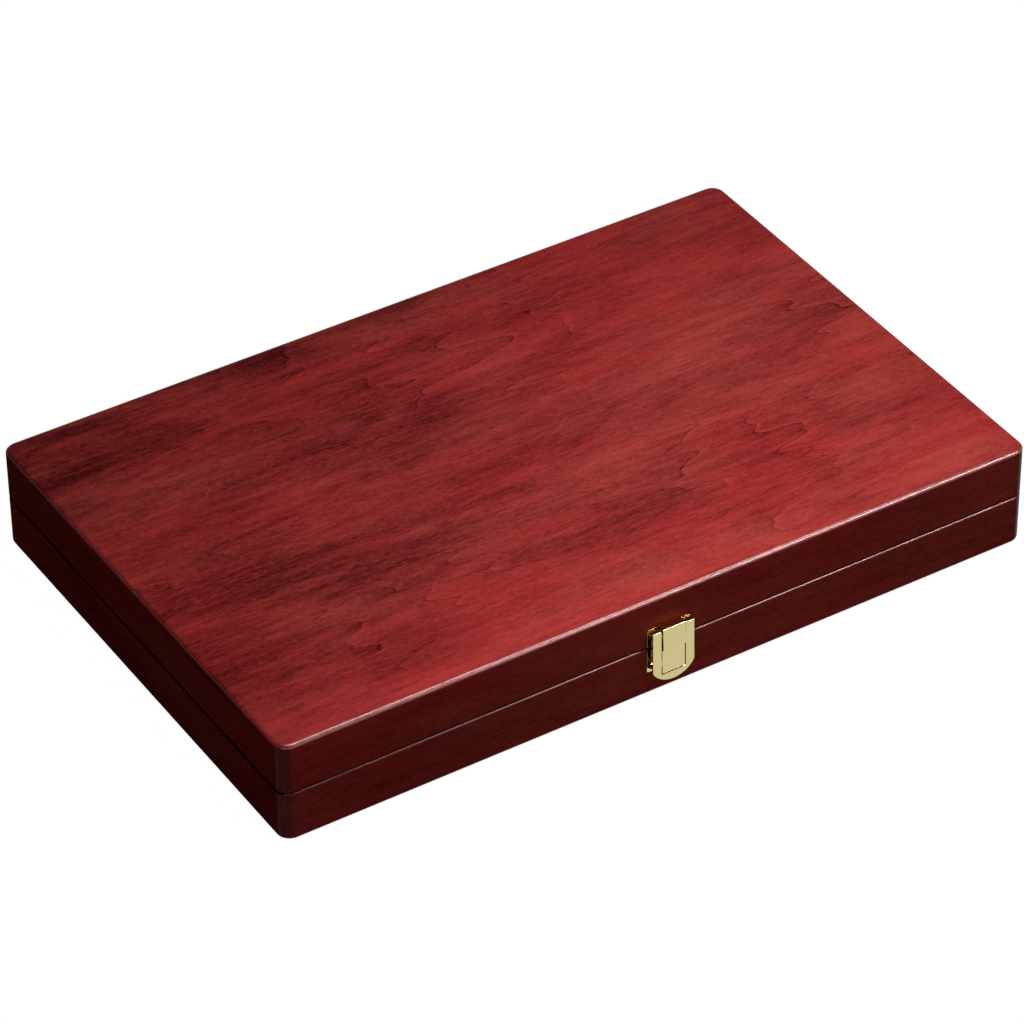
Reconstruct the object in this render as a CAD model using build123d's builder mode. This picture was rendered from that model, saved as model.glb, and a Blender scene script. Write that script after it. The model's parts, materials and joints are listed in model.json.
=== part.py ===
from build123d import *
import math
import os

# A folding wooden backgammon board, closed, in millimetres.
# X runs along the case, Y from the latch side to the hinge side and Z up from the surface it rests on.

os.makedirs("parts", exist_ok=True)

# Case
case_length = 380.0
case_width = 245.5
case_height = 51.0
corner_radius = 6.5
panel_thickness = 5.0
panel_edge_radius = 2.0
rail_thickness = 9.0
rim_chamfer = 0.7
seam_gap = 0.2

# Inside of each half
trough_width = 44.0
divider_thickness = 6.0
divider_drop = 0.5
divider_edge_radius = 1.0
veneer_thickness = 1.0
points_per_side = 6
point_length = 148.0
point_spacing = 1.2

# Butt hinges, let into the rims of the back rails
hinge_offset = 115.0
hinge_length = 30.0
hinge_leaf_depth = 7.0
hinge_leaf_thickness = 1.0
hinge_axis_stand_off = 0.15
knuckle_count = 3
knuckle_radius = 1.9
knuckle_gap = 0.2
hinge_pin_radius = 0.9
hinge_pin_clearance = 0.05
barrel_groove_clearance = 0.3
mortise_clearance = 0.1
hinge_screw_head_radius = 2.0
hinge_screw_shank_radius = 1.1
hinge_screw_length = 9.0
hinge_screw_offset = 9.0
hinge_screw_inset = 2.8

# Latch, pressed from brass sheet
latch_sheet = 0.8
latch_bend_radius = 0.4
latch_plate_width = 21.6
latch_plate_corner_radius = 0.8
latch_tab_width = 11.4
latch_seam_gap = 0.3
latch_plate_seam_margin = 1.0
latch_top_above_seam = 11.4
latch_tab_stand_off_top = 5.2
latch_tab_stand_off_bottom = 5.7
catch_depth_below_seam = 12.6
catch_stand_off_top = 4.8
catch_stand_off_bottom = 5.2
latch_pin_radius = 0.6
latch_pin_clearance = 0.05
latch_pin_fit = 0.02
latch_lug_height = 3.4
eye_clearance = 0.2
hasp_width = 21.0
hasp_top_below_tab = 1.0
hasp_stand_off_top = 4.65
hasp_stand_off_bottom = 5.3
hasp_side_gap = 0.5
hasp_catch_gap = 0.3
hasp_bar_height = 4.0
hasp_end_rise = 6.2
latch_screw_head_radius = 1.6
latch_screw_shank_radius = 0.8
latch_screw_length = 7.0
latch_screw_rise = 5.6

# Screws, whose many small rounds are drawn as even polygons round them, and so are their holes
screw_clearance = 0.05
screw_sides = 8
screw_head_rim = 0.1
screw_slot_width = 0.45
screw_slot_depth = 0.35
screw_point_length = 1.6
screw_point_radius = 0.3

# Playing pieces, put away in the tray's trough; the many checkers are drawn as even polygons
checker_diameter = 25.0
checker_thickness = 7.0
checker_sides = 20
checkers_per_colour = 15
checkers_per_stack = 3
storage_gap = 0.2
stack_gap = 0.05
cup_length = 50.0
cup_body_radius = 16.8
cup_rim_rise = 1.2
cup_rim_length = 5.0
cup_wall = 2.5
cup_base_thickness = 4.0
die_size = 11.0
die_edge = 1.0
doubling_cube_size = 16.0
doubling_cube_edge = 1.4

# Places worked out from the sizes above
seam_z = case_height / 2
rim_height = seam_z - seam_gap / 2 - panel_thickness
inner_length = case_length - 2 * rail_thickness
front_y = -case_width / 2
back_y = case_width / 2
inner_front_y = front_y + rail_thickness
inner_back_y = back_y - rail_thickness
divider_front_y = inner_front_y + trough_width
field_front_y = divider_front_y + divider_thickness
field_width = inner_back_y - field_front_y
field_centre_y = (inner_back_y + field_front_y) / 2
point_pitch = field_width / points_per_side
trough_centre_y = inner_front_y + trough_width / 2
cup_rim_radius = cup_body_radius + cup_rim_rise

hinge_axis_y = back_y + hinge_axis_stand_off
hinge_bore_radius = hinge_pin_radius + hinge_pin_clearance
knuckle_pitch = hinge_length / knuckle_count
hinge_leaf_inner_y = back_y - hinge_leaf_depth
hinge_screw_y = hinge_leaf_inner_y + hinge_screw_inset

latch_top_z = seam_z + latch_top_above_seam
latch_tab_bottom_z = seam_z + latch_seam_gap / 2
latch_lid_plate_bottom_z = seam_z + latch_plate_seam_margin
eye_bore_radius = latch_pin_radius + latch_pin_clearance
eye_radius = eye_bore_radius + latch_sheet
latch_pin_out = latch_sheet + eye_clearance + eye_radius
hasp_top_z = latch_top_z - hasp_top_below_tab
latch_pin_z = hasp_top_z - eye_radius
catch_top_z = seam_z - latch_seam_gap / 2
catch_plate_top_z = seam_z - latch_plate_seam_margin
catch_bottom_z = seam_z - catch_depth_below_seam
hasp_window_width = latch_tab_width + 2 * hasp_side_gap
hasp_window_bottom_z = catch_bottom_z - hasp_catch_gap
hasp_bottom_z = hasp_window_bottom_z - hasp_bar_height
latch_screw_x = (latch_tab_width + latch_plate_width) / 4

front_face = Plane.XZ.offset(-front_y)

# Each half of the case: its name, the height of its outer face, its inward direction and its colour order.
# The lid's points carry on the tray's order across the hinge once the board lies open.
halves = [("tray", 0.0, 1, 0), ("lid", case_height, -1, 1)]


def save(piece, label):
    """Name a finished piece and write its file."""
    piece.part.label = label
    export_step(piece.part, f"parts/{label}.step")


def out(stand_off):
    """Y of a point that stands off the front face of the case."""
    return front_y - stand_off


def folded_sheet(*corners):
    """Section of a strip of latch sheet, folded to the left at these corners of its outer face."""
    with BuildSketch() as section:
        with BuildLine():
            outer_face = FilletPolyline(*corners, radius=latch_bend_radius)
            offset(outer_face, latch_sheet, kind=Kind.INTERSECTION, side=Side.LEFT)
        make_face()
    return section.sketch


# Screws

def screw_blank(head_radius, shank_radius, length):
    """A countersunk wood screw without its slot, pointing down, with the top of its head at the origin."""
    head_height = head_radius - shank_radius + screw_head_rim
    with BuildPart() as blank:
        with BuildSketch():
            RegularPolygon(head_radius, screw_sides, major_radius=False)
        extrude(amount=-head_height)
        chamfer(blank.faces().sort_by(Axis.Z)[0].edges(), head_radius - shank_radius)
        with BuildSketch(Plane.XY.offset(-head_height)):
            RegularPolygon(shank_radius, screw_sides, major_radius=False)
        extrude(amount=head_height - length)
        tip = blank.faces().sort_by(Axis.Z)[0]
        chamfer(tip.edges(), shank_radius - screw_point_radius, screw_point_length, reference=tip)
    return blank.part


def slotted_screw(head_radius, shank_radius, length):
    """One wood screw with the slot in its head."""
    with BuildPart() as screw:
        add(screw_blank(head_radius, shank_radius, length))
        with BuildSketch():
            Rectangle(2 * head_radius, screw_slot_width)
        extrude(amount=-screw_slot_depth, mode=Mode.SUBTRACT)
    return screw.part


def screw_group(screw, places):
    """Equal screws at a list of planes whose z axis points out of the screw's head."""
    with BuildPart() as screws:
        with Locations(*places):
            add(screw)
    return screws


def screw_hole(head_radius, shank_radius, length):
    """What one screw's countersunk hole takes away, with clearance all round."""
    return screw_blank(head_radius + screw_clearance, shank_radius + screw_clearance, length + screw_clearance)


def cut_screw_holes(hole, places):
    """Screw holes, cut in the piece that is being built."""
    with Locations(*places):
        add(hole, mode=Mode.SUBTRACT)


def hinge_screw_places(centre_x, inward):
    """Planes at the heads of the two screws in one hinge leaf."""
    z = seam_z - inward * seam_gap / 2
    screw_xs = [centre_x - hinge_screw_offset, centre_x + hinge_screw_offset]
    return [Plane(origin=(x, hinge_screw_y, z), z_dir=(0, 0, inward)) for x in screw_xs]


def half_hinge_screw_places(inward):
    """Planes at the heads of one half's hinge screws."""
    return hinge_screw_places(-hinge_offset, inward) + hinge_screw_places(hinge_offset, inward)


def latch_screw_places(z):
    """Planes at the heads of one latch plate's screws, behind the legs of the hasp."""
    y = out(latch_sheet)
    return [Plane(origin=(x, y, z), z_dir=(0, -1, 0)) for x in (-latch_screw_x, latch_screw_x)]


hinge_screw = slotted_screw(hinge_screw_head_radius, hinge_screw_shank_radius, hinge_screw_length)
hinge_screw_hole = screw_hole(hinge_screw_head_radius, hinge_screw_shank_radius, hinge_screw_length)
latch_screw = slotted_screw(latch_screw_head_radius, latch_screw_shank_radius, latch_screw_length)
latch_screw_hole = screw_hole(latch_screw_head_radius, latch_screw_shank_radius, latch_screw_length)
lid_latch_screw_places = latch_screw_places(latch_lid_plate_bottom_z + latch_screw_rise)
tray_latch_screw_places = latch_screw_places(catch_plate_top_z - latch_screw_rise)


# Case

def case_panel(outer_z, inward):
    """Bottom or top panel: it covers the rails, and its outer edges are well rounded."""
    with BuildPart() as panel:
        with BuildSketch(Plane.XY.offset(outer_z)):
            RectangleRounded(case_length, case_width, corner_radius)
        extrude(amount=inward * panel_thickness)
        outer_face = panel.faces().filter_by(Axis.Z).sort_by(Axis.Z)[0 if inward > 0 else -1]
        fillet(outer_face.edges(), panel_edge_radius)
    return panel


def case_rail(outer_z, inward, turn, run, reach, run_axis):
    """One mitred rail of a half's frame, with its share of the two rounded corners."""
    end_x = run / 2
    inner_x = end_x - rail_thickness
    arc_x = end_x - corner_radius
    outer_y = -reach
    arc_y = outer_y + corner_radius
    inner_y = outer_y + rail_thickness
    mitre_x = arc_x + corner_radius * math.cos(math.pi / 4)
    mitre_y = arc_y - corner_radius * math.sin(math.pi / 4)
    panel_face = Plane.XY.offset(outer_z + inward * panel_thickness)
    with BuildPart() as rail:
        with BuildSketch(panel_face.rotated((0, 0, turn))):
            with BuildLine():
                Line((-inner_x, inner_y), (inner_x, inner_y))
                Line((inner_x, inner_y), (mitre_x, mitre_y))
                CenterArc((arc_x, arc_y), corner_radius, -90, 45)
                Line((arc_x, outer_y), (-arc_x, outer_y))
                CenterArc((-arc_x, arc_y), corner_radius, 225, 45)
                Line((-mitre_x, mitre_y), (-inner_x, inner_y))
            make_face()
        extrude(amount=inward * rim_height)
        rim_edges = rail.faces().filter_by(Axis.Z).sort_by(Axis.Z)[-1 if inward > 0 else 0].edges()
        chamfer(rim_edges.filter_by(run_axis) + rim_edges.filter_by(GeomType.CIRCLE), rim_chamfer)
    return rail


def cut_hinge_seats(rail, inward):
    """Mortises, barrel grooves and screw holes for both hinges, cut in a back rail."""
    rim_z = seam_z - inward * seam_gap / 2
    seat_length = hinge_length + 2 * mortise_clearance
    seat_front_y = hinge_leaf_inner_y - mortise_clearance
    with BuildPart() as seated:
        add(rail)
        for centre_x in (-hinge_offset, hinge_offset):
            with BuildSketch(Plane.XY.offset(rim_z)):
                with Locations((centre_x, (seat_front_y + hinge_axis_y) / 2)):
                    Rectangle(seat_length, hinge_axis_y - seat_front_y)
            extrude(amount=-inward * hinge_leaf_thickness, mode=Mode.SUBTRACT)
            with BuildSketch(Plane.YZ.offset(centre_x - hinge_length / 2 - barrel_groove_clearance)):
                with Locations((hinge_axis_y, seam_z)):
                    Circle(knuckle_radius + barrel_groove_clearance)
            extrude(amount=hinge_length + 2 * barrel_groove_clearance, mode=Mode.SUBTRACT)
        cut_screw_holes(hinge_screw_hole, half_hinge_screw_places(inward))
    return seated


def trough_divider(outer_z, inward):
    """Straight strip between the trough and the playing field, just lower than the rims."""
    with BuildPart() as divider:
        with BuildSketch(Plane.XY.offset(outer_z + inward * panel_thickness)):
            with Locations((0, (divider_front_y + field_front_y) / 2)):
                Rectangle(inner_length, divider_thickness)
        extrude(amount=inward * (rim_height - divider_drop))
        free_face = divider.faces().filter_by(Axis.Z).sort_by(Axis.Z)[-1 if inward > 0 else 0]
        fillet(free_face.edges().filter_by(Axis.X), divider_edge_radius)
    return divider


def point_outlines(colour, colour_order):
    """Corners of one half's points of one colour, 0 for light and 1 for dark."""
    outlines = []
    for side in (-1, 1):
        base_x = side * inner_length / 2
        tip_x = base_x - side * point_length
        for step in range(points_per_side):
            if (step + max(side, 0) + colour_order) % 2 == colour:
                y = inner_back_y - (step + 0.5) * point_pitch
                half_base = (point_pitch - point_spacing) / 2
                outlines.append([(base_x, y - half_base), (base_x, y + half_base), (tip_x, y)])
    return outlines


def field_veneer(outer_z, inward, colour_order):
    """Veneer of one playing field, open where the points are let in."""
    with BuildPart() as veneer:
        with BuildSketch(Plane.XY.offset(outer_z + inward * panel_thickness)):
            with Locations((0, field_centre_y)):
                Rectangle(inner_length, field_width)
            for outline in point_outlines(0, colour_order) + point_outlines(1, colour_order):
                Polygon(*outline, align=None, mode=Mode.SUBTRACT)
        extrude(amount=inward * veneer_thickness)
    return veneer


def field_points(outer_z, inward, colour, colour_order):
    """Inlaid points of one colour, flush with the veneer around them."""
    with BuildPart() as points:
        with BuildSketch(Plane.XY.offset(outer_z + inward * panel_thickness)):
            for outline in point_outlines(colour, colour_order):
                Polygon(*outline, align=None)
        extrude(amount=inward * veneer_thickness)
    return points


for half_name, outer_z, inward, colour_order in halves:
    front_rail = case_rail(outer_z, inward, 0, case_length, case_width / 2, Axis.X)
    with BuildPart() as drilled_front_rail:
        add(front_rail.part)
        cut_screw_holes(latch_screw_hole, tray_latch_screw_places if half_name == "tray" else lid_latch_screw_places)
    back_rail = case_rail(outer_z, inward, 180, case_length, case_width / 2, Axis.X)
    panel_name = "tray_base_panel" if half_name == "tray" else "lid_top_panel"
    save(case_panel(outer_z, inward), panel_name)
    save(drilled_front_rail, f"{half_name}_front_rail")
    save(cut_hinge_seats(back_rail.part, inward), f"{half_name}_back_rail")
    save(case_rail(outer_z, inward, 90, case_width, case_length / 2, Axis.Y), f"{half_name}_right_rail")
    save(case_rail(outer_z, inward, 270, case_width, case_length / 2, Axis.Y), f"{half_name}_left_rail")
    save(trough_divider(outer_z, inward), f"{half_name}_trough_divider")
    save(field_veneer(outer_z, inward, colour_order), f"{half_name}_field_veneer")
    save(field_points(outer_z, inward, 0, colour_order), f"{half_name}_light_points")
    save(field_points(outer_z, inward, 1, colour_order), f"{half_name}_dark_points")


# Hinges

def hinge_leaf(centre_x, inward, first_knuckle):
    """One leaf, flush with its rim, with every second knuckle of the barrel."""
    start_x = centre_x - hinge_length / 2
    other_reach = knuckle_radius + barrel_groove_clearance
    with BuildPart() as leaf:
        with BuildSketch(Plane.XY.offset(seam_z - inward * seam_gap / 2)):
            with Locations((centre_x, (hinge_leaf_inner_y + hinge_axis_y) / 2)):
                Rectangle(hinge_length, hinge_axis_y - hinge_leaf_inner_y)
        extrude(amount=-inward * hinge_leaf_thickness)
        for knuckle in range(knuckle_count):
            knuckle_x = start_x + knuckle * knuckle_pitch
            if knuckle % 2 == first_knuckle:
                with BuildSketch(Plane.YZ.offset(knuckle_x + knuckle_gap / 2)):
                    with Locations((hinge_axis_y, seam_z)):
                        Circle(knuckle_radius)
                extrude(amount=knuckle_pitch - knuckle_gap)
        for knuckle in range(knuckle_count):
            knuckle_x = start_x + knuckle * knuckle_pitch
            if knuckle % 2 != first_knuckle:
                with BuildSketch(Plane.YZ.offset(knuckle_x - knuckle_gap / 2)):
                    with Locations((hinge_axis_y, seam_z)):
                        Rectangle(2 * other_reach, 2 * other_reach)
                extrude(amount=knuckle_pitch + knuckle_gap, mode=Mode.SUBTRACT)
        with BuildSketch(Plane.YZ.offset(start_x)):
            with Locations((hinge_axis_y, seam_z)):
                Circle(hinge_bore_radius)
        extrude(amount=hinge_length, mode=Mode.SUBTRACT)
        cut_screw_holes(hinge_screw_hole, hinge_screw_places(centre_x, inward))
    return leaf


def hinge_pin(centre_x):
    """Pin of one hinge, as long as its barrel."""
    with BuildPart() as pin:
        with BuildSketch(Plane.YZ.offset(centre_x - hinge_length / 2)):
            with Locations((hinge_axis_y, seam_z)):
                Circle(hinge_pin_radius)
        extrude(amount=hinge_length)
    return pin


for side_name, centre_x in (("left", -hinge_offset), ("right", hinge_offset)):
    save(hinge_leaf(centre_x, 1, 0), f"{side_name}_hinge_tray_leaf")
    save(hinge_leaf(centre_x, -1, 1), f"{side_name}_hinge_lid_leaf")
    save(hinge_pin(centre_x), f"{side_name}_hinge_pin")

for half_name, outer_z, inward, colour_order in halves:
    save(screw_group(hinge_screw, half_hinge_screw_places(inward)), f"{half_name}_hinge_screws")


# Latch on the lid: a plate whose middle is folded forward and down, with two lugs for the pin

with BuildPart() as latch_lid_plate:
    with BuildSketch(front_face):
        with Locations((0, (latch_lid_plate_bottom_z + hasp_top_z) / 2)):
            RectangleRounded(
                latch_plate_width,
                hasp_top_z - latch_lid_plate_bottom_z,
                latch_plate_corner_radius,
            )
    extrude(amount=latch_sheet)
    with BuildSketch(Plane.YZ):
        add(folded_sheet(
            (front_y, latch_lid_plate_bottom_z),
            (front_y, latch_top_z),
            (out(latch_tab_stand_off_top), latch_top_z),
            (out(latch_tab_stand_off_bottom), latch_tab_bottom_z),
        ))
    extrude(amount=latch_tab_width / 2, both=True)
    for side in (-1, 1):
        lug_face = Plane.YZ.offset(side * latch_tab_width / 2)
        lug_top_z = latch_top_z - latch_sheet / 2
        lug_front = latch_tab_stand_off_top - latch_sheet / 2
        with BuildSketch(lug_face):
            with Locations((out((latch_sheet / 2 + lug_front) / 2), lug_top_z - latch_lug_height / 2)):
                Rectangle(lug_front - latch_sheet / 2, latch_lug_height)
            with Locations((out(latch_pin_out), latch_pin_z)):
                Circle(latch_pin_radius + latch_pin_fit, mode=Mode.SUBTRACT)
        extrude(amount=-side * latch_sheet)
    cut_screw_holes(latch_screw_hole, lid_latch_screw_places)
save(latch_lid_plate, "latch_lid_plate")

# Latch on the tray: a plate folded forward and up again, under which the hasp's bar catches

with BuildPart() as latch_catch_plate:
    with BuildSketch(front_face):
        with Locations((0, (catch_bottom_z + catch_plate_top_z) / 2)):
            RectangleRounded(
                latch_plate_width,
                catch_plate_top_z - catch_bottom_z,
                latch_plate_corner_radius,
            )
    extrude(amount=latch_sheet)
    with BuildSketch(Plane.YZ):
        add(folded_sheet(
            (out(catch_stand_off_top), catch_top_z),
            (out(catch_stand_off_bottom), catch_bottom_z),
            (front_y, catch_bottom_z),
            (front_y, catch_plate_top_z),
        ))
    extrude(amount=latch_tab_width / 2, both=True)
    cut_screw_holes(latch_screw_hole, tray_latch_screw_places)
save(latch_catch_plate, "latch_catch_plate")

# Hasp: a rounded frame with two legs, rolled round the pin at their tops

with BuildPart() as latch_hasp:
    with BuildSketch(Plane.YZ):
        add(folded_sheet(
            (out(latch_pin_out), hasp_top_z),
            (out(hasp_stand_off_top), hasp_top_z),
            (out(hasp_stand_off_bottom), hasp_bottom_z),
        ))
        with Locations((out(latch_pin_out), latch_pin_z)):
            Circle(eye_radius)
            Circle(eye_bore_radius, mode=Mode.SUBTRACT)
    extrude(amount=hasp_width / 2, both=True)
    with BuildSketch(front_face):
        with BuildLine():
            Polyline(
                (-hasp_width / 2, hasp_bottom_z + hasp_end_rise),
                (-hasp_width / 2, hasp_top_z),
                (hasp_width / 2, hasp_top_z),
                (hasp_width / 2, hasp_bottom_z + hasp_end_rise),
            )
            ThreePointArc(
                (hasp_width / 2, hasp_bottom_z + hasp_end_rise),
                (0, hasp_bottom_z),
                (-hasp_width / 2, hasp_bottom_z + hasp_end_rise),
            )
        make_face()
        with Locations((0, (hasp_window_bottom_z + hasp_top_z) / 2)):
            Rectangle(hasp_window_width, hasp_top_z - hasp_window_bottom_z, mode=Mode.SUBTRACT)
    extrude(amount=hasp_stand_off_bottom, mode=Mode.INTERSECT)
save(latch_hasp, "latch_hasp")

with BuildPart() as latch_hinge_pin:
    with BuildSketch(Plane.YZ):
        with Locations((out(latch_pin_out), latch_pin_z)):
            Circle(latch_pin_radius)
    extrude(amount=hasp_width / 2, both=True)
save(latch_hinge_pin, "latch_hinge_pin")

save(screw_group(latch_screw, lid_latch_screw_places), "latch_lid_screws")
save(screw_group(latch_screw, tray_latch_screw_places), "latch_catch_screws")


# Playing pieces

def turned_checker():
    """One checker, with its centre at the origin."""
    with BuildPart() as checker:
        with BuildSketch(Plane.XY.offset(-checker_thickness / 2)):
            RegularPolygon(checker_diameter / 2, checker_sides)
        extrude(amount=checker_thickness)
    return checker.part


def turned_cup():
    """One dice cup on its side, with its base at the origin and its mouth towards +X."""
    rim_start = cup_length - cup_rim_length
    bore_radius = cup_body_radius - cup_wall
    with BuildPart() as cup:
        with BuildSketch(Plane.XZ):
            with BuildLine():
                Polyline(
                    (0, 0),
                    (0, cup_body_radius),
                    (rim_start, cup_body_radius),
                    (rim_start, cup_rim_radius),
                    (cup_length, cup_rim_radius),
                    (cup_length, bore_radius),
                    (cup_base_thickness, bore_radius),
                    (cup_base_thickness, 0),
                    close=True,
                )
            make_face()
        revolve(axis=Axis.X)
    return cup.part


def eased_cube(size, edge):
    """One cube with eased edges and corners, with its centre at the origin."""
    with BuildPart() as cube:
        with BuildSketch(Plane.XY.offset(-size / 2)):
            Rectangle(size, size)
        extrude(amount=size)
        chamfer(cube.edges(), edge)
    return cube.part


checker = turned_checker()
cup = turned_cup()
die = eased_cube(die_size, die_edge)

# The trough is filled from the left: a cup, the dice, a second cup that faces the first, then the checkers.
trough_floor_z = panel_thickness
cup_z = trough_floor_z + stack_gap + cup_rim_radius
first_cup_x = -inner_length / 2 + storage_gap
dice_start_x = first_cup_x + cup_length + storage_gap
dice_front_y = inner_front_y + storage_gap
dice_bay_length = 2 * (die_size + storage_gap)
second_cup_x = dice_start_x + dice_bay_length + cup_length
stack_shift = (trough_width - checker_diameter) / 2 - storage_gap
stack_distance = checker_diameter + storage_gap
stack_pitch = max(stack_distance / 2, math.sqrt(max(stack_distance**2 - (2 * stack_shift) ** 2, 0)))
first_stack_x = second_cup_x + storage_gap + checker_diameter / 2
stacks_per_colour = math.ceil(checkers_per_colour / checkers_per_stack)


def checker_stacks(first_stack):
    """All checkers of one colour, in flat stacks set zigzag along the trough."""
    with BuildPart() as checkers:
        for number in range(checkers_per_colour):
            stack = first_stack + number // checkers_per_stack
            layer = number % checkers_per_stack
            x = first_stack_x + stack * stack_pitch
            y = trough_centre_y + stack_shift * (1 if stack % 2 else -1)
            z = trough_floor_z + stack_gap + checker_thickness / 2 + layer * (checker_thickness + stack_gap)
            with Locations((x, y, z)):
                add(checker)
    return checkers


def cup_at(base_x, turn):
    """A dice cup that lies in the trough, with its base at the given place."""
    with BuildPart() as placed_cup:
        with Locations(Location((base_x, trough_centre_y, cup_z), (0, 0, turn))):
            add(cup)
    return placed_cup


def dice_pair(row):
    """Two dice side by side along the trough."""
    y = dice_front_y + (row + 0.5) * (die_size + storage_gap)
    with BuildPart() as dice:
        for number in range(2):
            x = dice_start_x + (number + 0.5) * (die_size + storage_gap)
            with Locations((x, y, trough_floor_z + stack_gap + die_size / 2)):
                add(die)
    return dice


save(checker_stacks(0), "light_checkers")
save(checker_stacks(stacks_per_colour), "dark_checkers")
save(cup_at(first_cup_x, 0), "first_dice_cup")
save(cup_at(second_cup_x, 180), "second_dice_cup")
save(dice_pair(0), "light_dice")
save(dice_pair(1), "dark_dice")

with BuildPart() as doubling_cube:
    cube_x = dice_start_x + doubling_cube_size / 2
    cube_y = dice_front_y + 2 * (die_size + storage_gap) + doubling_cube_size / 2
    with Locations((cube_x, cube_y, trough_floor_z + stack_gap + doubling_cube_size / 2)):
        add(eased_cube(doubling_cube_size, doubling_cube_edge))
save(doubling_cube, "doubling_cube")
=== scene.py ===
import json
import math
from typing import NamedTuple

import bmesh
import bpy
from mathutils import Matrix, Quaternion, Vector


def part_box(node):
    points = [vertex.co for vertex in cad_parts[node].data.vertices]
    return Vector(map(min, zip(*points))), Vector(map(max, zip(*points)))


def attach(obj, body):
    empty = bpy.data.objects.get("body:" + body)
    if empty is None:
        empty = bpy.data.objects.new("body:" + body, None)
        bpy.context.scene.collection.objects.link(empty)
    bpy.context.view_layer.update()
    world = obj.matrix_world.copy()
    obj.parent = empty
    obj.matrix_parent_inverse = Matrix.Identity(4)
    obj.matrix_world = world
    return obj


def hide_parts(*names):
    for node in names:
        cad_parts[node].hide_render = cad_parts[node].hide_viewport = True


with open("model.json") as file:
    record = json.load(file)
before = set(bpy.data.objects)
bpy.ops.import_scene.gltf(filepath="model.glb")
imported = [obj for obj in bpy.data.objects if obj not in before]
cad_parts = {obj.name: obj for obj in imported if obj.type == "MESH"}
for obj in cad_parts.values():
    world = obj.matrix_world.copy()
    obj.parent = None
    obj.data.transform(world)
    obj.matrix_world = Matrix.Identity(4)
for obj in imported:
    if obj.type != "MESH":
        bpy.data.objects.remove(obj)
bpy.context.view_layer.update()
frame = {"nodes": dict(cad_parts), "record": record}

# A folding game board, closed and latched as in the photograph, with its playing field and its pieces inside.
# Everything is in metres, in the frame's own axes.

nodes = frame["nodes"]
slot_of = {row["node"]: row["material_slot"] for row in frame["record"]["subparts"]}
body_of = {
    node: body
    for body, members in frame["record"]["behaviour"]["bodies"].items()
    for node in members
}

# The two halves of the case meet halfway up
seam_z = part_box("lid_top_panel")[1].z / 2

# Camera: a long lens, fitted to the case's outline in the frame of 1024 pixels
image_size = 1024
focal_length_in_pixels = 5137.3
sensor_width = 36.0
camera_place = Vector((-0.9522, -1.5308, 1.4126))
camera_azimuth = math.radians(31.85)
camera_elevation = math.radians(37.79)
camera_roll = math.radians(-0.54)


# Node trees

# Where a noise mostly swings
noise_low, noise_high = 0.3, 0.7


class Grain(NamedTuple):
    """A noise drawn out along the grain: repeats per metre along and across it, and its weight in a sum."""
    along: float
    across: float
    shift: tuple = (0, 0, 0)
    detail: float = 3
    roughness: float = 0.6
    distortion: float = 0
    weight: float = 1


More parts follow.
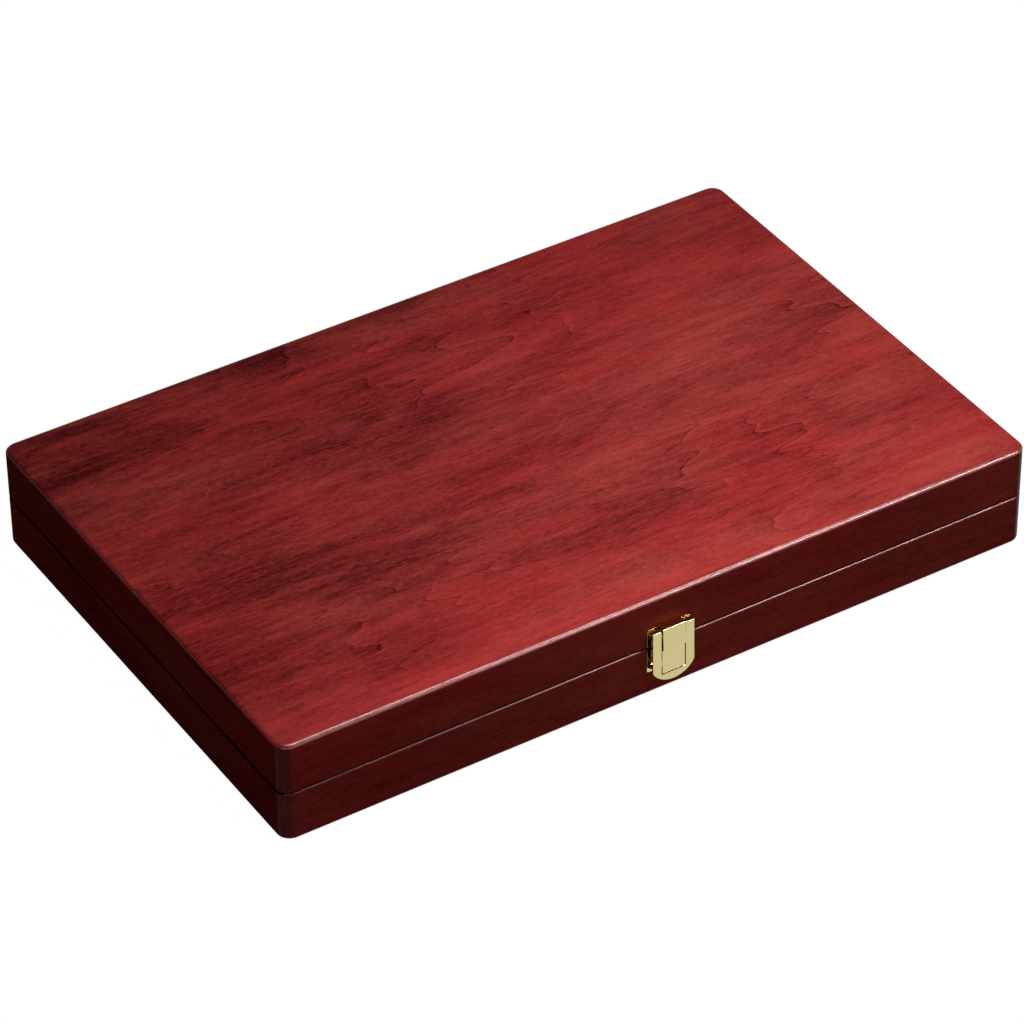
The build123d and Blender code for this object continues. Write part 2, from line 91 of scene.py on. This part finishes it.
class NodeTree:
    """The node tree of a material or a world, with short calls for the nodes used here."""

    def __init__(self, owner, kind, coordinates):
        owner.use_nodes = True
        self.owner = owner
        self.tree = owner.node_tree
        self.tree.nodes.clear()
        self.output = self.node(f"ShaderNodeOutput{kind}")
        self.place = self.node("ShaderNodeTexCoord").outputs[coordinates]

    def node(self, kind, **settings):
        made = self.tree.nodes.new(kind)
        for key, value in settings.items():
            setattr(made, key, value)
        return made

    def put(self, socket, value):
        """Link a socket, or set its value."""
        if isinstance(value, bpy.types.NodeSocket):
            self.tree.links.new(value, socket)
        else:
            socket.default_value = value

    def fill(self, made, **values):
        """Put values into a node's inputs, named with underscores for spaces."""
        for key, value in values.items():
            self.put(made.inputs[key.replace("_", " ").title().replace("Ior", "IOR")], value)
        return made

    def math(self, operation, *values):
        made = self.node("ShaderNodeMath", operation=operation)
        for socket, value in zip(made.inputs, values):
            self.put(socket, value)
        return made.outputs[0]

    def stretched(self, scale, shift=(0, 0, 0)):
        """The coordinates, scaled along each axis and shifted."""
        made = self.node("ShaderNodeVectorMath", operation="MULTIPLY_ADD")
        for socket, value in zip(made.inputs, (self.place, scale, shift)):
            self.put(socket, value)
        return made.outputs[0]

    def split(self, vector):
        made = self.node("ShaderNodeSeparateXYZ")
        self.put(made.inputs[0], vector)
        return made.outputs

    def noise(self, vector, detail=2, roughness=0.5, distortion=0):
        made = self.node("ShaderNodeTexNoise")
        self.fill(made, vector=vector, scale=1, detail=detail, roughness=roughness, distortion=distortion)
        return made.outputs["Fac"]

    def grain(self, pattern, axis):
        """A noise drawn out along the grain's axis."""
        scale = tuple(pattern.along if name == axis else pattern.across for name in "XYZ")
        drawn_out = self.stretched(scale, pattern.shift)
        return self.noise(drawn_out, pattern.detail, pattern.roughness, pattern.distortion)

    def span(self, value, low, high, to_low=0, to_high=1, smooth=True):
        """A value carried from one range to another, clamped at both ends."""
        made = self.node("ShaderNodeMapRange", interpolation_type="SMOOTHSTEP" if smooth else "LINEAR")
        self.fill(made, value=value, from_min=low, from_max=high, to_min=to_low, to_max=to_high)
        return made.outputs["Result"]

    def hump(self, value, foot, crest, far_crest, far_foot):
        """One between the two crests, and nothing outside the two feet."""
        return self.math("MULTIPLY", self.span(value, foot, crest), self.span(value, far_foot, far_crest))

    def varied(self, pattern, low, high):
        """A noise carried to a range of its own."""
        return self.span(pattern, noise_low, noise_high, low, high)

    def weighted(self, *parts, middle=0.5):
        """The sum of patterns that swing round a middle, each with its own weight."""
        total = 0
        for pattern, weight in parts:
            total = self.math("MULTIPLY_ADD", self.math("SUBTRACT", pattern, middle), weight, total)
        return total

    def mix(self, share, first, second, blend="MIX"):
        """A colour between two."""
        made = self.node("ShaderNodeMix", data_type="RGBA", blend_type=blend)
        self.put(made.inputs[0], share)
        self.put(made.inputs[6], first)
        self.put(made.inputs[7], second)
        return made.outputs[2]

    def choose(self, share, first, second):
        """A number between two."""
        made = self.node("ShaderNodeMix", data_type="FLOAT")
        self.put(made.inputs[0], share)
        self.put(made.inputs[2], first)
        self.put(made.inputs[3], second)
        return made.outputs[0]

    def bump(self, height, strength, distance):
        made = self.fill(self.node("ShaderNodeBump"), strength=strength, distance=distance, height=height)
        return made.outputs["Normal"]

    def finish(self, **values):
        """One Principled shader with these inputs, which ends a material's tree."""
        shader = self.fill(self.node("ShaderNodeBsdfPrincipled"), **values)
        self.put(self.output.inputs["Surface"], shader.outputs[0])
        return self.owner


def material_nodes(name):
    """The empty tree of a new material, whose patterns lie still on the object."""
    return NodeTree(bpy.data.materials.new(name), "Material", "Object")


def colour(red, green, blue):
    """A linear colour from its 8-bit sRGB values."""
    def linear(value):
        share = value / 255
        return share / 12.92 if share <= 0.04045 else ((share + 0.055) / 1.055) ** 2.4
    return (linear(red), linear(green), linear(blue), 1.0)


def scaled_colour(tone, share):
    """A colour made lighter or darker, at most white."""
    return tuple(min(part * share, 1.0) for part in tone[:3]) + (1.0,)


# Stained wood: the patterns of its stain and fibres, with their weights in how pale the wood is
stain_patterns = {
    "blotches": Grain(along=13, across=48, distortion=0.5, weight=-1.0),
    "clouds": Grain(along=5, across=12, shift=(2.3, 0.7, 1.9), detail=2, roughness=0.5, weight=-1.2),
    "streaks": Grain(along=24, across=210, shift=(3.1, 1.7, 0.4), weight=-0.75),
    "fibres": Grain(along=110, across=1050, roughness=0.7, weight=1.15),
    "pores": Grain(along=330, across=1900, shift=(0.9, 4.1, 1.2), detail=2, weight=1.2),
}
darkest_shade = -0.75
palest_shade = 0.5
dark_stain = (0.20, 0.01, 0.05, 1)
pale_stain = (1.45, 1.75, 1.65, 1)

# Its hue wanders between these two factors
flush = Grain(along=9, across=22, shift=(4.4, 2.1, 3.3))
flush_low, flush_high = 0.38, 0.62
redder = (1.03, 0.84, 0.90, 1)
browner = (0.98, 1.15, 1.11, 1)

# Its growth rings: how many there are to a metre of the grain, the number of the first, which keeps the count
# above zero, and the patterns that draw them out into ragged tongues
rings_per_metre = 19.0
first_ring = 20.0
tongues = Grain(along=6, across=34, shift=(0.3, 5.2, 2.2), detail=2.5, roughness=0.5, weight=4.6)
ragged = Grain(along=260, across=330, detail=2, weight=0.10)

# The parts of a ring, each with the shares of the ring where it starts, is full, fades and ends
dark_line_span, dark_line_weight = (0.955, 0.99, 0.995, 1.0), -0.32
late_wood_span, late_wood_weight = (0.45, 0.99, 0.985, 1.0), -0.13
pale_line_span, pale_line_weight = (0.0, 0.012, 0.012, 0.16), 0.17

# Rings show only in patches of the board
patch_scale = (13, 19, 13)
patch_low, patch_high = 0.46, 0.66

# The stain is deeper towards the back left corner, across a slanting line, partly as real stain and partly as
# painted shade
slant = 1.2
deeper_from, deeper_to = -0.06, 0.33
deeper_shade = -0.52

# The rounding between broad faces and sides, as depths below the face, and how much contrast the sides keep
rounding_foot, rounding_top = 0.0022, 0.0002
side_contrast = 0.8

# What its relief is made of
fibre_relief, pore_relief, dark_line_relief = 0.6, 0.6, -0.5


def broad_faces(s, place):
    """One on the broad faces of the case, and nothing on its sides."""
    from_seam = s.math("ABSOLUTE", s.math("SUBTRACT", place["Z"], seam_z))
    return s.span(from_seam, seam_z - rounding_foot, seam_z - rounding_top)


def growth_rings(s, place, axis):
    """The thin dark line that ends each growth ring, and how much the whole ring changes the shade."""
    pushed = s.weighted(*((s.grain(pattern, axis), pattern.weight) for pattern in (tongues, ragged)))
    figure = s.math("MULTIPLY_ADD", place[axis], rings_per_metre, pushed)
    rings = s.math("FRACT", s.math("ADD", figure, first_ring))
    dark_line = s.hump(rings, *dark_line_span)
    growth = s.weighted(
        (dark_line, dark_line_weight),
        (s.hump(rings, *late_wood_span), late_wood_weight),
        (s.hump(rings, *pale_line_span), pale_line_weight),
        middle=0,
    )
    return dark_line, growth


def stain_and_shade_depth(s, place):
    """How deep the stain and its painted shade are, from nothing to one at the back left."""
    to_back_left = s.math("SUBTRACT", s.math("MULTIPLY", place["Y"], slant), place["X"])
    return s.span(to_back_left, deeper_from, deeper_to, smooth=False)


def shaded(s, shade, tone):
    """A tone with its stain darker or paler, by the sign of the shade."""
    dark = s.mix(1, tone, dark_stain, "MULTIPLY")
    pale = s.mix(1, tone, pale_stain, "MULTIPLY")
    body = s.mix(s.span(shade, 0, darkest_shade, smooth=False), tone, dark)
    return s.mix(s.span(shade, 0, palest_shade, smooth=False), body, pale)


def stained_wood(
    name, axis, face_tone, side_tone, specular, roughness,
    specular_tint=(1, 1, 1, 1), smoother=0.05, rougher=0.08,
):
    """Red-stained close-grained wood: blotched stain, a few growth lines and fine fibres along one axis.
    The two tones belong to the broad faces and to the sides, and meet in the rounding between them."""
    s = material_nodes(name)
    place = s.split(s.place)
    broad = broad_faces(s, place)
    dark_line, growth = growth_rings(s, place, axis)
    patches = s.span(s.noise(s.stretched(patch_scale)), patch_low, patch_high)

    drawn = {key: s.grain(pattern, axis) for key, pattern in stain_patterns.items()}
    shade = s.weighted(*((drawn[key], pattern.weight) for key, pattern in stain_patterns.items()))
    shade = s.math("MULTIPLY_ADD", growth, s.math("MULTIPLY", patches, broad), shade)
    shade = s.math("MULTIPLY", shade, s.span(broad, 0, 1, side_contrast, 1))
    # Darker towards the back left: partly the wood's own deeper stain, partly painted shade where the light
    # falls off
    deeper = s.math("MULTIPLY", stain_and_shade_depth(s, place), broad)
    shade = s.math("MULTIPLY_ADD", deeper, deeper_shade, shade)

    hue = s.mix(s.span(s.grain(flush, axis), flush_low, flush_high), redder, browner)
    tone = s.mix(1, s.mix(broad, side_tone, face_tone), hue, "MULTIPLY")
    relief = s.weighted(
        (drawn["fibres"], fibre_relief),
        (drawn["pores"], pore_relief),
        (dark_line, dark_line_relief),
    )
    return s.finish(
        base_color=shaded(s, shade, tone),
        roughness=s.varied(drawn["fibres"], roughness - smoother, roughness + rougher),
        specular_ior_level=specular,
        specular_tint=specular_tint,
        normal=s.bump(relief, strength=0.3, distance=0.0001),
    )


# Veneer and turned wood: their bands and pores, and how far those stray from the wood's tone
veneer_bands = Grain(along=6, across=90, detail=4, distortion=0.3)
veneer_pores = Grain(along=260, across=2600, detail=2)
pale_contrast_share = 0.6
pore_shade_low, pore_shade_high = 0.58, 0.75
pore_darkness = 0.6


def veneer(name, tone, contrast, specular=0.4, roughness=0.38, smoother=0.06, rougher=0.1):
    """Lacquered wood of one tone, with straight grain and pores along X."""
    s = material_nodes(name)
    bands = s.grain(veneer_bands, "X")
    pores = s.grain(veneer_pores, "X")
    dark = scaled_colour(tone, 1 - contrast)
    pale = scaled_colour(tone, 1 + contrast * pale_contrast_share)
    body = s.mix(s.varied(bands, 0, 1), pale, dark)
    body = s.mix(s.span(pores, pore_shade_low, pore_shade_high, 0, pore_darkness), body, dark)
    return s.finish(
        base_color=body,
        roughness=s.varied(pores, roughness - smoother, roughness + rougher),
        specular_ior_level=specular,
        normal=s.bump(pores, strength=0.15, distance=0.00005),
    )


# Brass: repeats per metre of its rolling lines and its clouds
rolled_scale = (700, 120, 4200)
cloudy_scale = (120, 120, 120)


def brass(name, pale_tone, deep_tone, smoothest=0.10, roughest=0.16):
    """Polished, lacquered brass with faint rolling lines."""
    s = material_nodes(name)
    rolled = s.noise(s.stretched(rolled_scale), detail=3, roughness=0.6)
    cloudy = s.noise(s.stretched(cloudy_scale))
    return s.finish(
        base_color=s.mix(cloudy, pale_tone, deep_tone),
        metallic=1.0,
        roughness=s.varied(cloudy, smoothest, roughest),
        normal=s.bump(rolled, strength=0.05, distance=0.00002),
    )


# Plastic: repeats per metre of its mottle, and how dark that gets
mottle_scale = (420, 420, 420)
mottle_darkening = 0.9


def plastic(name, tone, roughness, smoother=0.04, rougher=0.05):
    """Cast plastic with a faint mottle in its colour and polish."""
    s = material_nodes(name)
    mottle = s.noise(s.stretched(mottle_scale), detail=3)
    return s.finish(
        base_color=s.mix(mottle, scaled_colour(tone, mottle_darkening), tone),
        roughness=s.varied(mottle, roughness - smoother, roughness + rougher),
        normal=s.bump(mottle, strength=0.04, distance=0.00005),
    )


face_tone = colour(150, 47, 44)
side_tone = colour(128, 40, 35)
# The corner tone is darker than the sides: painted shade on the rounded upright corners
corner_shade_tone = colour(104, 30, 28)
# The seam tone is darker than the sides: painted shade along the seam, where the lid's rim turns away from
# the light
seam_shade_tone = colour(52, 12, 12)
ivory = colour(240, 232, 212)
reddish_lacquer = (1, 0.7, 0.75, 1)
materials = {
    "face_x": stained_wood("face_wood_along_x", "X", face_tone, side_tone, specular=0.10, roughness=0.45),
    "edge_x": stained_wood("edge_wood_along_x", "X", face_tone, side_tone, specular=1.0, roughness=0.27),
    "side_x": stained_wood("side_wood_along_x", "X", face_tone, side_tone, specular=0.0, roughness=0.5),
    "side_y": stained_wood("side_wood_along_y", "Y", face_tone, side_tone, specular=0.0, roughness=0.5),
    # A darker tone that paints shade on the rounded upright corners
    "corner": stained_wood("corner_painted_shade_wood", "X", corner_shade_tone, corner_shade_tone, specular=0.025, roughness=0.2),
    "seam_shine": stained_wood(
        "seam_shine_wood", "X", side_tone, side_tone, specular=0.8, roughness=0.24,
        specular_tint=reddish_lacquer,
    ),
    # A dark tone that paints the shade along the seam
    "seam_shade": stained_wood("seam_shade_wood", "X", seam_shade_tone, seam_shade_tone, specular=0.0, roughness=0.5),
    "brass": brass("polished_brass", colour(214, 202, 146), colour(206, 191, 134)),
    # The catch plate's warmer brass is a painted difference in reflection, standing in for its face tilting
    # unlike the tab's
    "catch_brass_painted_reflection": brass("catch_brass_painted_reflection", colour(218, 202, 149), colour(210, 190, 137)),
    "field_wood": veneer("field_veneer_wood", colour(188, 136, 84), contrast=0.35),
    "light_inlay": veneer("light_point_wood", colour(232, 205, 160), contrast=0.2),
    "dark_inlay": veneer("dark_point_wood", colour(92, 34, 26), contrast=0.4),
    "light_checker_wood": veneer("light_checker_wood", colour(226, 196, 148), contrast=0.25),
    "dark_checker_wood": veneer("dark_checker_wood", colour(84, 30, 24), contrast=0.4),
    "cup_wood": veneer("cup_wood", colour(104, 36, 30), contrast=0.4),
    "light_dice_plastic": plastic("light_dice_plastic", ivory, roughness=0.18),
    "dark_dice_plastic": plastic("dark_dice_plastic", colour(82, 22, 18), roughness=0.18),
    "cube_plastic": plastic("cube_plastic", ivory, roughness=0.2),
    "number_paint": plastic("number_paint", colour(34, 26, 24), roughness=0.35),
}


# Pieces

sharp_angle = math.radians(28)
flat_angle = math.radians(0.5)
weld_distance = 2e-7

# How far edges are eased
rim_ease = 0.0004
divider_ease = 0.0002
cup_ease = 0.0005
brass_ease = 0.0002
rim_reach = 0.003

# Which way a face points, told by the parts of its normal
level_face = 0.999
rounded_low, rounded_high = 0.3, 0.95
rounded_corner = 0.25

# Checkers, dice and doubling cube
checker_rounding = 0.0009
dish_share = 0.70
dish_depth = 0.0005
pip_radius = 0.0011
pip_lift_share = 0.5
pip_step_share = 0.25
number_share = 0.62
number_depth = 0.0002
number_weld = 1e-6


def is_sharp(edge):
    return edge.calc_face_angle(0) > sharp_angle


def no_edge(edge):
    """No edge is eased on the panels, which are rounded in the CAD."""
    return False


def is_rim(edge):
    """Edges of the rims along the seam are rounded, while the glued joints stay sharp."""
    middle = (edge.verts[0].co + edge.verts[1].co) / 2
    return abs(middle.z - seam_z) < rim_reach and is_sharp(edge)


def welded(node):
    """A node's faces as an editable mesh, its corners joined and its flat faces made whole."""
    bm = bmesh.new()
    bm.from_mesh(nodes[node].data)
    bmesh.ops.remove_doubles(bm, verts=bm.verts, dist=weld_distance)
    bmesh.ops.dissolve_limit(bm, angle_limit=flat_angle, verts=bm.verts, edges=bm.edges)
    return bm


def finished_piece(node, bm):
    """The piece that takes a node's place, made of this editable mesh."""
    for face in bm.faces:
        face.smooth = True
    mesh = bpy.data.meshes.new(f"{node}_finished")
    bm.to_mesh(mesh)
    bm.free()
    piece = bpy.data.objects.new(f"{node}_finished", mesh)
    bpy.context.scene.collection.objects.link(piece)
    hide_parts(node)
    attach(piece, body_of[node])
    return piece


def keep_flat_faces_flat(piece):
    weighted = piece.modifiers.new("flat_faces_stay_flat", "WEIGHTED_NORMAL")
    weighted.keep_sharp = True


def paint(piece, *chosen):
    """Give a piece its materials, the first one everywhere."""
    piece.data.materials.clear()
    for material in chosen:
        piece.data.materials.append(material)
    for polygon in piece.data.polygons:
        polygon.material_index = 0


def eased_copy(node, ease, segments=3, eases=is_sharp):
    """A smooth stand-in for a node, with its chosen edges eased."""
    bm = welded(node)
    weight = bm.edges.layers.float.new("bevel_weight_edge")
    for edge in bm.edges:
        eased = eases(edge)
        edge[weight] = float(eased)
        edge.smooth = eased or not is_sharp(edge)
    piece = finished_piece(node, bm)
    bevel = piece.modifiers.new("eased_edges", "BEVEL")
    bevel.width = ease
    bevel.segments = segments
    bevel.limit_method = "WEIGHT"
    bevel.harden_normals = True
    keep_flat_faces_flat(piece)
    return piece


def polish_and_shade_corners(piece):
    """Give the upright corners, which are rounded, a faint sheen and a darker tone, which is painted shade.
    """
    piece.data.materials.append(materials["corner"])
    for polygon in piece.data.polygons:
        across, deep, up = (abs(part) for part in polygon.normal)
        if min(across, deep) > rounded_corner and up < rounded_low:
            polygon.material_index = len(piece.data.materials) - 1


def case_panel_piece(node):
    """A panel with a satin face, long edges that shine where they round, and matt sides."""
    piece = eased_copy(node, 0, eases=no_edge)
    paint(piece, materials["side_x"], materials["face_x"], materials["edge_x"])
    face_slot, edge_slot = 1, 2
    for polygon in piece.data.polygons:
        across, deep, up = (abs(part) for part in polygon.normal)
        if up > level_face:
            polygon.material_index = face_slot
        elif up > rounded_low:
            polygon.material_index = edge_slot if deep > across else face_slot
    polish_and_shade_corners(piece)


def case_rail_piece(node, axis, rim_gloss_or_shade):
    """A matt rail whose rounded rim along the seam has a material of its own: a glossier finish, or a dark
    tone that is painted shade.
    """
    piece = eased_copy(node, rim_ease, segments=4, eases=is_rim)
    paint(piece, materials[f"side_{axis}"], materials[rim_gloss_or_shade])
    rim_slot = 1
    for polygon in piece.data.polygons:
        if rounded_low < abs(polygon.normal.z) < rounded_high:
            polygon.material_index = rim_slot
    polish_and_shade_corners(piece)


def solids_of(node):
    """The middle and the extent of each separate solid of a node, found by walking along its edges."""
    bm = welded(node)
    seen = set()
    solids = []
    for first in bm.verts:
        if first in seen:
            continue
        seen.add(first)
        found = [first]
        for vertex in found:
            for edge in vertex.link_edges:
                other = edge.other_vert(vertex)
                if other not in seen:
                    seen.add(other)
                    found.append(other)
        low = Vector(min(vertex.co[k] for vertex in found) for k in range(3))
        high = Vector(max(vertex.co[k] for vertex in found) for k in range(3))
        solids.append(((low + high) / 2, high - low))
    bm.free()
    return solids


def turn(bm, profile, middle, steps=56):
    """Turn a profile of (radius, height) pairs round the upright through a middle, and close both ends."""
    rings = []
    for radius, height in profile:
        ring = []
        for step in range(steps):
            angle = step * math.tau / steps
            offset = Vector((radius * math.cos(angle), radius * math.sin(angle), height))
            ring.append(bm.verts.new(middle + offset))
        rings.append(ring)
    for lower, upper in zip(rings, rings[1:]):
        for step in range(steps):
            following = (step + 1) % steps
            bm.faces.new((lower[step], lower[following], upper[following], upper[step]))
    bm.faces.new(reversed(rings[0]))
    bm.faces.new(rings[-1])


def quarter_round(radius, height, rounding, steps=4):
    """Points of a rounded upper edge, from the side of a disc to its face."""
    for step in range(steps + 1):
        angle = step * math.pi / 2 / steps
        yield radius - rounding * (1 - math.cos(angle)), height - rounding * (1 - math.sin(angle))


def turned_checkers(node):
    """Round checkers with rounded edges and a shallow dish in each face."""
    bm = bmesh.new()
    for middle, extent in solids_of(node):
        radius = min(extent.x, extent.y) / 2
        dish_radius = radius * dish_share
        half_height = extent.z / 2
        upper = list(quarter_round(radius, half_height, checker_rounding))
        upper += [(dish_radius, half_height), (dish_radius - dish_depth, half_height - dish_depth)]
        lower = [(across, -height) for across, height in reversed(upper)]
        turn(bm, lower + upper, middle)
    piece = finished_piece(node, bm)
    keep_flat_faces_flat(piece)
    return piece


def engraved_copy(node, cutters, body_material, mark_material):
    """A copy of a node with marks cut into it, painted in a second material."""
    bm = welded(node)
    for edge in bm.edges:
        edge.smooth = not is_sharp(edge)
    piece = finished_piece(node, bm)
    paint(piece, body_material, mark_material)
    tool_mesh = bpy.data.meshes.new(f"{node}_marks")
    cutters.to_mesh(tool_mesh)
    cutters.free()
    tool = bpy.data.objects.new(f"{node}_marks", tool_mesh)
    bpy.context.scene.collection.objects.link(tool)
    paint(tool, mark_material)
    cut = piece.modifiers.new("marks", "BOOLEAN")
    cut.operation = "DIFFERENCE"
    cut.solver = "EXACT"
    cut.material_mode = "TRANSFER"
    cut.object = tool
    bpy.context.view_layer.update()
    evaluated = piece.evaluated_get(bpy.context.evaluated_depsgraph_get())
    finished = bpy.data.meshes.new_from_object(evaluated)
    piece.modifiers.remove(cut)
    piece.data = finished
    bpy.data.objects.remove(tool)
    keep_flat_faces_flat(piece)


def face_frames(middle, extent):
    """For each side of a cube, a frame at its middle whose z axis points out of it."""
    for normal in ((0, 0, 1), (0, -1, 0), (1, 0, 0), (-1, 0, 0), (0, 1, 0), (0, 0, -1)):
        outward = Vector(normal)
        turning = outward.to_track_quat("Z", "Y").to_matrix().to_4x4()
        yield Matrix.Translation(middle + outward * extent.z / 2) @ turning


def pip_places(value):
    """Where the pips of a face lie, in steps from its middle."""
    places = [(0, 0)] if value % 2 else []
    for least, across, up in ((2, 1, 1), (4, 1, -1), (6, 1, 0)):
        if value >= least:
            places += [(across, up), (-across, -up)]
    return places


def die_marks(node):
    """Round cutters for the pips of each die; opposite faces add up to seven."""
    cutters = bmesh.new()
    for middle, extent in solids_of(node):
        step = extent.z * pip_step_share
        for value, face in enumerate(face_frames(middle, extent), start=1):
            for across, up in pip_places(value):
                offset = Vector((across * step, up * step, pip_radius * pip_lift_share))
                bmesh.ops.create_uvsphere(
                    cutters, u_segments=16, v_segments=8, radius=pip_radius,
                    matrix=face @ Matrix.Translation(offset),
                )
    return cutters


def doubling_marks(node):
    """Cutters for the numbers of the doubling cube, one number on each face."""
    cutters = bmesh.new()
    for middle, extent in solids_of(node):
        for power, face in enumerate(face_frames(middle, extent), start=1):
            number = bpy.data.curves.new("number", "FONT")
            number.body = str(2 ** power)
            number.size = extent.z * number_share
            number.align_x = "CENTER"
            number.align_y = "CENTER"
            number.extrude = number_depth
            holder = bpy.data.objects.new("number", number)
            mesh = bpy.data.meshes.new_from_object(holder)
            mesh.transform(face)
            cutters.from_mesh(mesh)
            bpy.data.objects.remove(holder)
    bmesh.ops.remove_doubles(cutters, verts=cutters.verts, dist=number_weld)
    return cutters


# The lid's rims and the side rims of both halves get a dark tone that paints the shade along the seam; the
# tray's front and back rims get a glossier finish
for half, front_rim in (("tray", "seam_shine"), ("lid", "seam_shade")):
    for side in ("front", "back"):
        case_rail_piece(f"{half}_{side}_rail", "x", front_rim)
    for side in ("left", "right"):
        case_rail_piece(f"{half}_{side}_rail", "y", "seam_shade")
    paint(eased_copy(f"{half}_trough_divider", divider_ease), materials["side_x"])
case_panel_piece("lid_top_panel")
case_panel_piece("tray_base_panel")

for shade in ("light", "dark"):
    paint(turned_checkers(f"{shade}_checkers"), materials[f"{shade}_checker_wood"])
for node, pips in (("light_dice", "dark_dice_plastic"), ("dark_dice", "light_dice_plastic")):
    engraved_copy(node, die_marks(node), materials[slot_of[node]], materials[pips])
cube_marks = doubling_marks("doubling_cube")
engraved_copy("doubling_cube", cube_marks, materials["cube_plastic"], materials["number_paint"])
for node in ("first_dice_cup", "second_dice_cup"):
    paint(eased_copy(node, cup_ease), materials["cup_wood"])

for node in nodes:
    if slot_of[node] == "brass":
        # The catch plate gets the warmer brass, a painted difference in reflection
        tone = "catch_brass_painted_reflection" if node == "latch_catch_plate" else "brass"
        paint(eased_copy(node, brass_ease), materials[tone])
    elif slot_of[node] in ("field_wood", "light_inlay", "dark_inlay"):
        nodes[node].data.materials.clear()
        nodes[node].data.materials.append(materials[slot_of[node]])


# Stage, lights and camera

floor_reach = 12.0
floor_grey = (0.2, 0.2, 0.2, 1)
floor_glow = 0.96
floor_glow_to_camera = 0.09
floor_glow_share = 0.95

# The world as light, and as it looks in reflections between two heights of the gaze
ambient_level = 0.10
horizon_height, horizon_level = 0.1, 1.0
overhead_height, overhead_level = 0.4, 0.05


def stage_floor():
    """A white floor that keeps a faint shadow, and throws little light back at the sides."""
    mesh = bpy.data.meshes.new("floor")
    corners = [(x * floor_reach, y * floor_reach, 0) for x, y in ((-1, -1), (1, -1), (1, 1), (-1, 1))]
    mesh.from_pydata(corners, [], [(0, 1, 2, 3)])
    floor = bpy.data.objects.new("floor", mesh)
    bpy.context.scene.collection.objects.link(floor)
    s = material_nodes("white_floor")
    rays = s.node("ShaderNodeLightPath").outputs
    seen = rays["Is Camera Ray"]
    for kind in ("Is Glossy Ray", "Is Transmission Ray"):
        seen = s.math("MAXIMUM", seen, rays[kind])
    strength = s.math("MULTIPLY_ADD", rays["Is Camera Ray"], floor_glow_to_camera, floor_glow)
    matt = s.fill(s.node("ShaderNodeBsdfDiffuse"), color=floor_grey)
    glow = s.fill(s.node("ShaderNodeEmission"), color=(1, 1, 1, 1), strength=strength)
    blend = s.node("ShaderNodeMixShader")
    s.put(blend.inputs[0], s.math("MULTIPLY", seen, floor_glow_share))
    s.put(blend.inputs[1], matt.outputs[0])
    s.put(blend.inputs[2], glow.outputs[0])
    s.put(s.output.inputs["Surface"], blend.outputs[0])
    floor.data.materials.append(s.owner)


def studio_world():
    """White to the camera, pale at the horizon and dark overhead in reflections, dim as light."""
    world = bpy.data.worlds.new("studio")
    bpy.context.scene.world = world
    s = NodeTree(world, "World", "Generated")
    rays = s.node("ShaderNodeLightPath").outputs
    height = s.split(s.place)["Z"]
    sky = s.span(height, horizon_height, overhead_height, horizon_level, overhead_level, smooth=False)
    light = s.choose(rays["Is Glossy Ray"], ambient_level, sky)
    strength = s.choose(rays["Is Camera Ray"], light, 1.0)
    background = s.fill(s.node("ShaderNodeBackground"), strength=strength)
    s.put(s.output.inputs["Surface"], background.outputs[0])


def area_lamp(name, place, aim, size, watts, gives_light=True, in_reflections=True):
    """A rectangular lamp that points at its aim. It may be left out of the light or of the reflections."""
    lamp = bpy.data.lights.new(name, "AREA")
    lamp.shape = "RECTANGLE"
    lamp.size, lamp.size_y = size
    lamp.energy = watts
    holder = bpy.data.objects.new(name, lamp)
    holder.location = place
    holder.rotation_mode = "QUATERNION"
    holder.rotation_quaternion = (Vector(aim) - Vector(place)).to_track_quat("-Z", "Y")
    holder.visible_diffuse = gives_light
    holder.visible_glossy = in_reflections
    bpy.context.scene.collection.objects.link(holder)


def photo_camera():
    """A camera that sees the case as the photograph does."""
    lens = bpy.data.cameras.new("camera")
    lens.sensor_width = sensor_width
    lens.lens = focal_length_in_pixels / image_size * sensor_width
    lens.clip_start = 0.01
    lens.clip_end = 50
    camera = bpy.data.objects.new("camera", lens)
    forward = Vector((
        math.sin(camera_azimuth) * math.cos(camera_elevation),
        math.cos(camera_azimuth) * math.cos(camera_elevation),
        -math.sin(camera_elevation),
    ))
    camera.location = camera_place
    camera.rotation_mode = "QUATERNION"
    camera.rotation_quaternion = forward.to_track_quat("-Z", "Y") @ Quaternion((0, 0, 1), camera_roll)
    bpy.context.scene.collection.objects.link(camera)
    bpy.context.scene.camera = camera


stage_floor()

# The strip lights the top and shows in its rounded front edge, and the glint shows in the rim of the seam.
# The fills light the front, and the back of the top.
area_lamp(
    "strip_softbox", place=(0.07, -0.137, 0.45), aim=(0.07, -0.12, 0.05), size=(0.52, 0.07), watts=1.9
)
area_lamp(
    "edge_glint", place=(0.54, -0.67, 0.63), aim=(0.14, -0.123, 0.0255), size=(0.5, 0.16), watts=6.5,
    gives_light=False,
)
area_lamp(
    "front_fill", place=(0.1, -1.2, 0.12), aim=(0, -0.12, 0.03), size=(0.8, 0.3), watts=1.4,
    in_reflections=False,
)
area_lamp(
    "back_fill", place=(0.35, 0.85, 0.42), aim=(0.1, 0.1, 0.03), size=(0.5, 0.3), watts=2.25,
    in_reflections=False,
)
studio_world()
photo_camera()
bpy.context.scene.view_settings.view_transform = "Standard"
